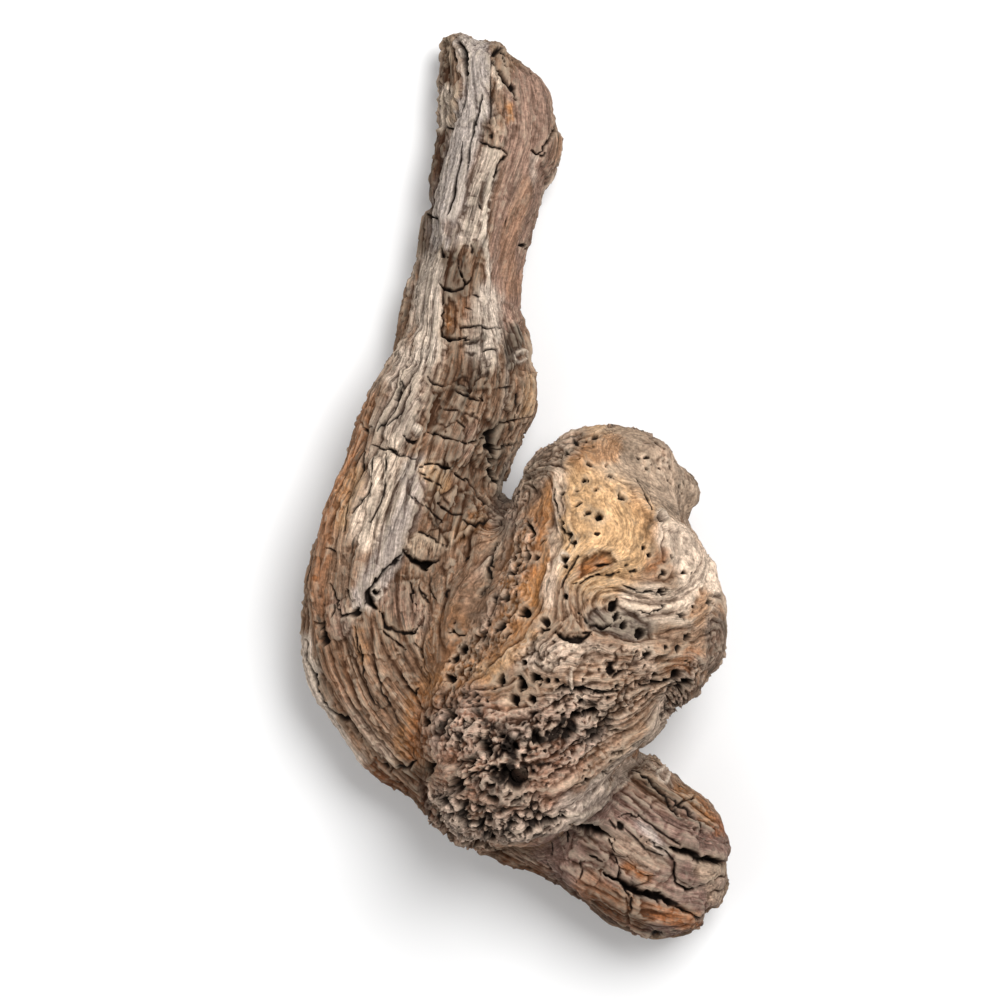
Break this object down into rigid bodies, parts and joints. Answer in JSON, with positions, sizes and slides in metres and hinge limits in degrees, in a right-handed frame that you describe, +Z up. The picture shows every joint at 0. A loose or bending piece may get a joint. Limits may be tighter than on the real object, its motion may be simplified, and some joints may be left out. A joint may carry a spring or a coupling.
{
  "type": "piece of driftwood",
  "caption": "Weathered piece of driftwood: a bent limb with a ridged arm and a short foot, and a worm-eaten burl grown out of the inside of the bend. Lies flat as a display piece.",
  "frame": {"origin": "middle of the bounding box, on the surface that the wood lies on", "axes": "+Y along the arm towards its tip, +Z up from the surface, +X towards the burl and the foot's end"},
  "size_m": [0.1722, 0.3666, 0.1057],
  "materials": {
    "weathered_wood": "bare, sea-worn and sun-bleached, matte"
  },
  "bodies": {
    "root": {"driftwood": "weathered_wood"}
  },
  "joints": []
}
